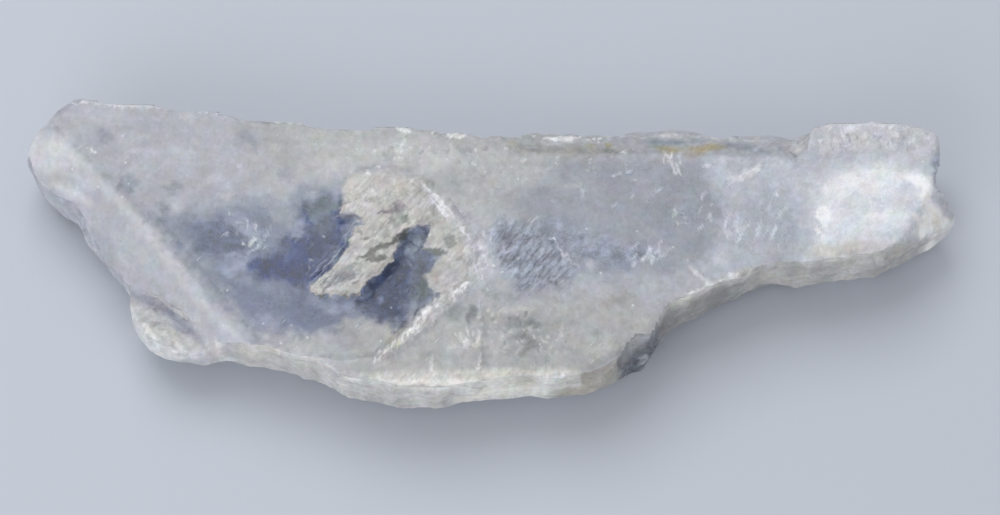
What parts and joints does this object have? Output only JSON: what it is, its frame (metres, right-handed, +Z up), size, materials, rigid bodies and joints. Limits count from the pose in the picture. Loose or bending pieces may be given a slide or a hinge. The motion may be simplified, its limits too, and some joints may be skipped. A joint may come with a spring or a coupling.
{
  "type": "selenite crystal blade",
  "caption": "Flat translucent gypsum cleavage blade with a bevelled left end, torn layers on its face and rough broken edges; it lies on its flat underside.",
  "frame": {"origin": "bottom centre of the bounding box, on the surface that the blade lies on", "axes": "+X along the blade to its narrow right end, +Y to its long upper edge, +Z up from the flat underside"},
  "size_m": [0.101, 0.0338, 0.011],
  "materials": {
    "selenite": "milky and partly clear, satin cleavage faces with a pearly sheen"
  },
  "bodies": {
    "root": {"crystal_blade": "selenite"}
  },
  "joints": []
}
